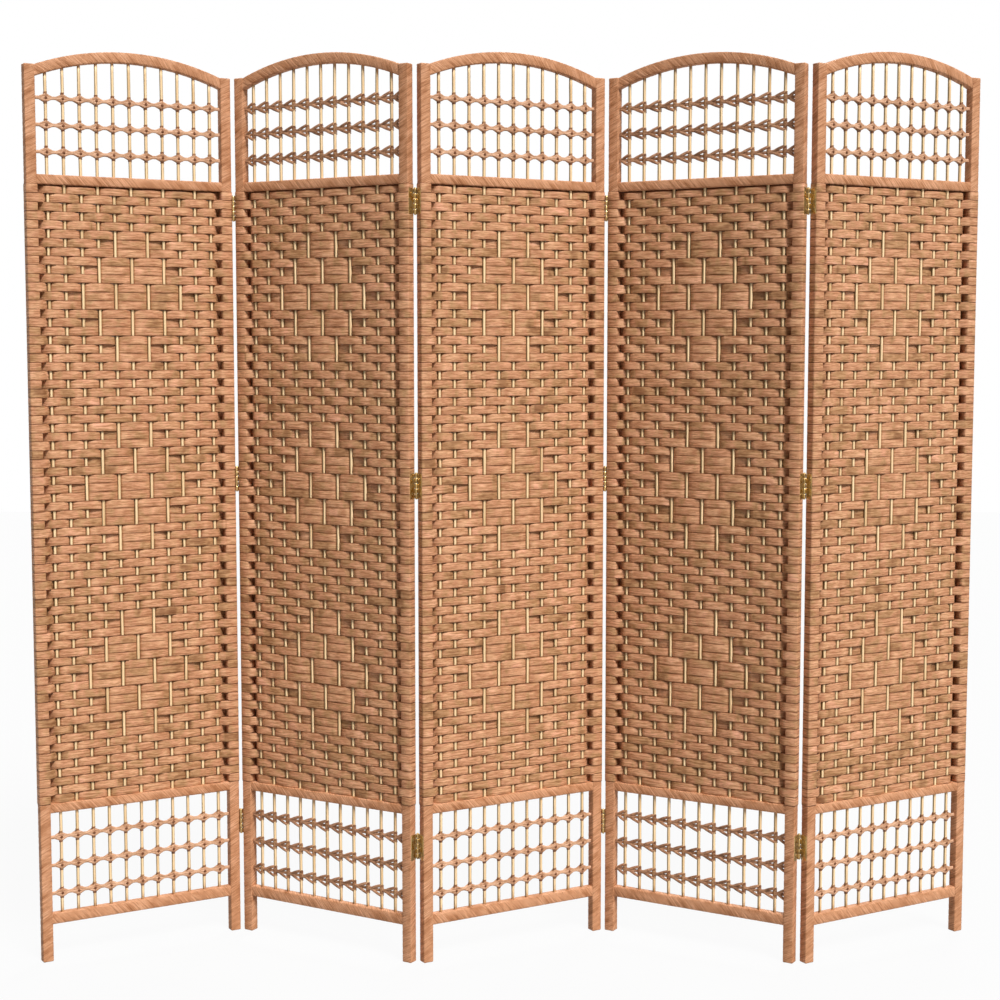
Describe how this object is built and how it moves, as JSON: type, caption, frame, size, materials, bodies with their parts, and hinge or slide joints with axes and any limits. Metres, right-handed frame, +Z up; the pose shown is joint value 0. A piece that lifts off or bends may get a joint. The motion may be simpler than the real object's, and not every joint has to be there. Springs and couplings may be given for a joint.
{
  "type": "folding screen",
  "caption": "Free-standing folding screen: hinged arched panels of wrapped sticks, each with a diamond-woven strand field between open fields of rods tied with knotted cords.",
  "frame": {"origin": "on the floor under the centre of the middle panel, which is also the centre of the screen's outline on the floor", "axes": "+X runs along the line of the zig-zag from left to right as seen from the front, +Y points to the back, +Z is up"},
  "size_m": [1.783, 0.213, 1.7],
  "materials": {
    "wrapped_stick": "fibre ribbon wound round a stick, satin",
    "woven_strand": "bundles of fine twisted fibre, matt with a slight sheen",
    "peeled_rod": "smooth peeled rod, satin",
    "knotted_cord": "twisted fibre cord, matt",
    "hinge_brass": "brass-plated steel, polished"
  },
  "bodies": {
    "panel_1": {"panel_1_left_stile": "wrapped_stick", "panel_1_right_stile": "wrapped_stick", "panel_1_arch_rail": "wrapped_stick", "panel_1_upper_rail": "wrapped_stick", "panel_1_lower_rail": "wrapped_stick", "panel_1_bottom_rail": "wrapped_stick", "panel_1_rods": "peeled_rod", "panel_1_woven_strands": "woven_strand", "panel_1_knotted_cords": "knotted_cord", "fold_1_2_left_leaves": "hinge_brass"},
    "panel_2": {"panel_2_left_stile": "wrapped_stick", "panel_2_right_stile": "wrapped_stick", "panel_2_arch_rail": "wrapped_stick", "panel_2_upper_rail": "wrapped_stick", "panel_2_lower_rail": "wrapped_stick", "panel_2_bottom_rail": "wrapped_stick", "panel_2_rods": "peeled_rod", "panel_2_woven_strands": "woven_strand", "panel_2_knotted_cords": "knotted_cord", "fold_1_2_right_leaves": "hinge_brass", "fold_1_2_pins": "hinge_brass", "fold_2_3_left_leaves": "hinge_brass"},
    "panel_3": {"panel_3_left_stile": "wrapped_stick", "panel_3_right_stile": "wrapped_stick", "panel_3_arch_rail": "wrapped_stick", "panel_3_upper_rail": "wrapped_stick", "panel_3_lower_rail": "wrapped_stick", "panel_3_bottom_rail": "wrapped_stick", "panel_3_rods": "peeled_rod", "panel_3_woven_strands": "woven_strand", "panel_3_knotted_cords": "knotted_cord", "fold_2_3_right_leaves": "hinge_brass", "fold_2_3_pins": "hinge_brass", "fold_3_4_left_leaves": "hinge_brass", "fold_3_4_pins": "hinge_brass"},
    "panel_4": {"panel_4_left_stile": "wrapped_stick", "panel_4_right_stile": "wrapped_stick", "panel_4_arch_rail": "wrapped_stick", "panel_4_upper_rail": "wrapped_stick", "panel_4_lower_rail": "wrapped_stick", "panel_4_bottom_rail": "wrapped_stick", "panel_4_rods": "peeled_rod", "panel_4_woven_strands": "woven_strand", "panel_4_knotted_cords": "knotted_cord", "fold_3_4_right_leaves": "hinge_brass", "fold_4_5_left_leaves": "hinge_brass", "fold_4_5_pins": "hinge_brass"},
    "panel_5": {"panel_5_left_stile": "wrapped_stick", "panel_5_right_stile": "wrapped_stick", "panel_5_arch_rail": "wrapped_stick", "panel_5_upper_rail": "wrapped_stick", "panel_5_lower_rail": "wrapped_stick", "panel_5_bottom_rail": "wrapped_stick", "panel_5_rods": "peeled_rod", "panel_5_woven_strands": "woven_strand", "panel_5_knotted_cords": "knotted_cord", "fold_4_5_right_leaves": "hinge_brass"}
  },
  "joints": [
    {"name": "fold_2_3", "type": "hinge", "parent": "panel_3", "child": "panel_2", "pos_m": [-0.17921, -0.08961, 0], "axis": [0, 0, -1], "range_deg": [-60, 120]},
    {"name": "fold_1_2", "type": "hinge", "parent": "panel_2", "child": "panel_1", "pos_m": [-0.53761, 0.08961, 0], "axis": [0, 0, 1], "range_deg": [-60, 120]},
    {"name": "fold_3_4", "type": "hinge", "parent": "panel_3", "child": "panel_4", "pos_m": [0.17921, 0.08961, 0], "axis": [0, 0, -1], "range_deg": [-60, 120]},
    {"name": "fold_4_5", "type": "hinge", "parent": "panel_4", "child": "panel_5", "pos_m": [0.53761, -0.08961, 0], "axis": [0, 0, 1], "range_deg": [-60, 120]}
  ],
  "couplings": [
    {"joint": "fold_4_5", "follows": "fold_3_4", "ratio": 1}
  ]
}
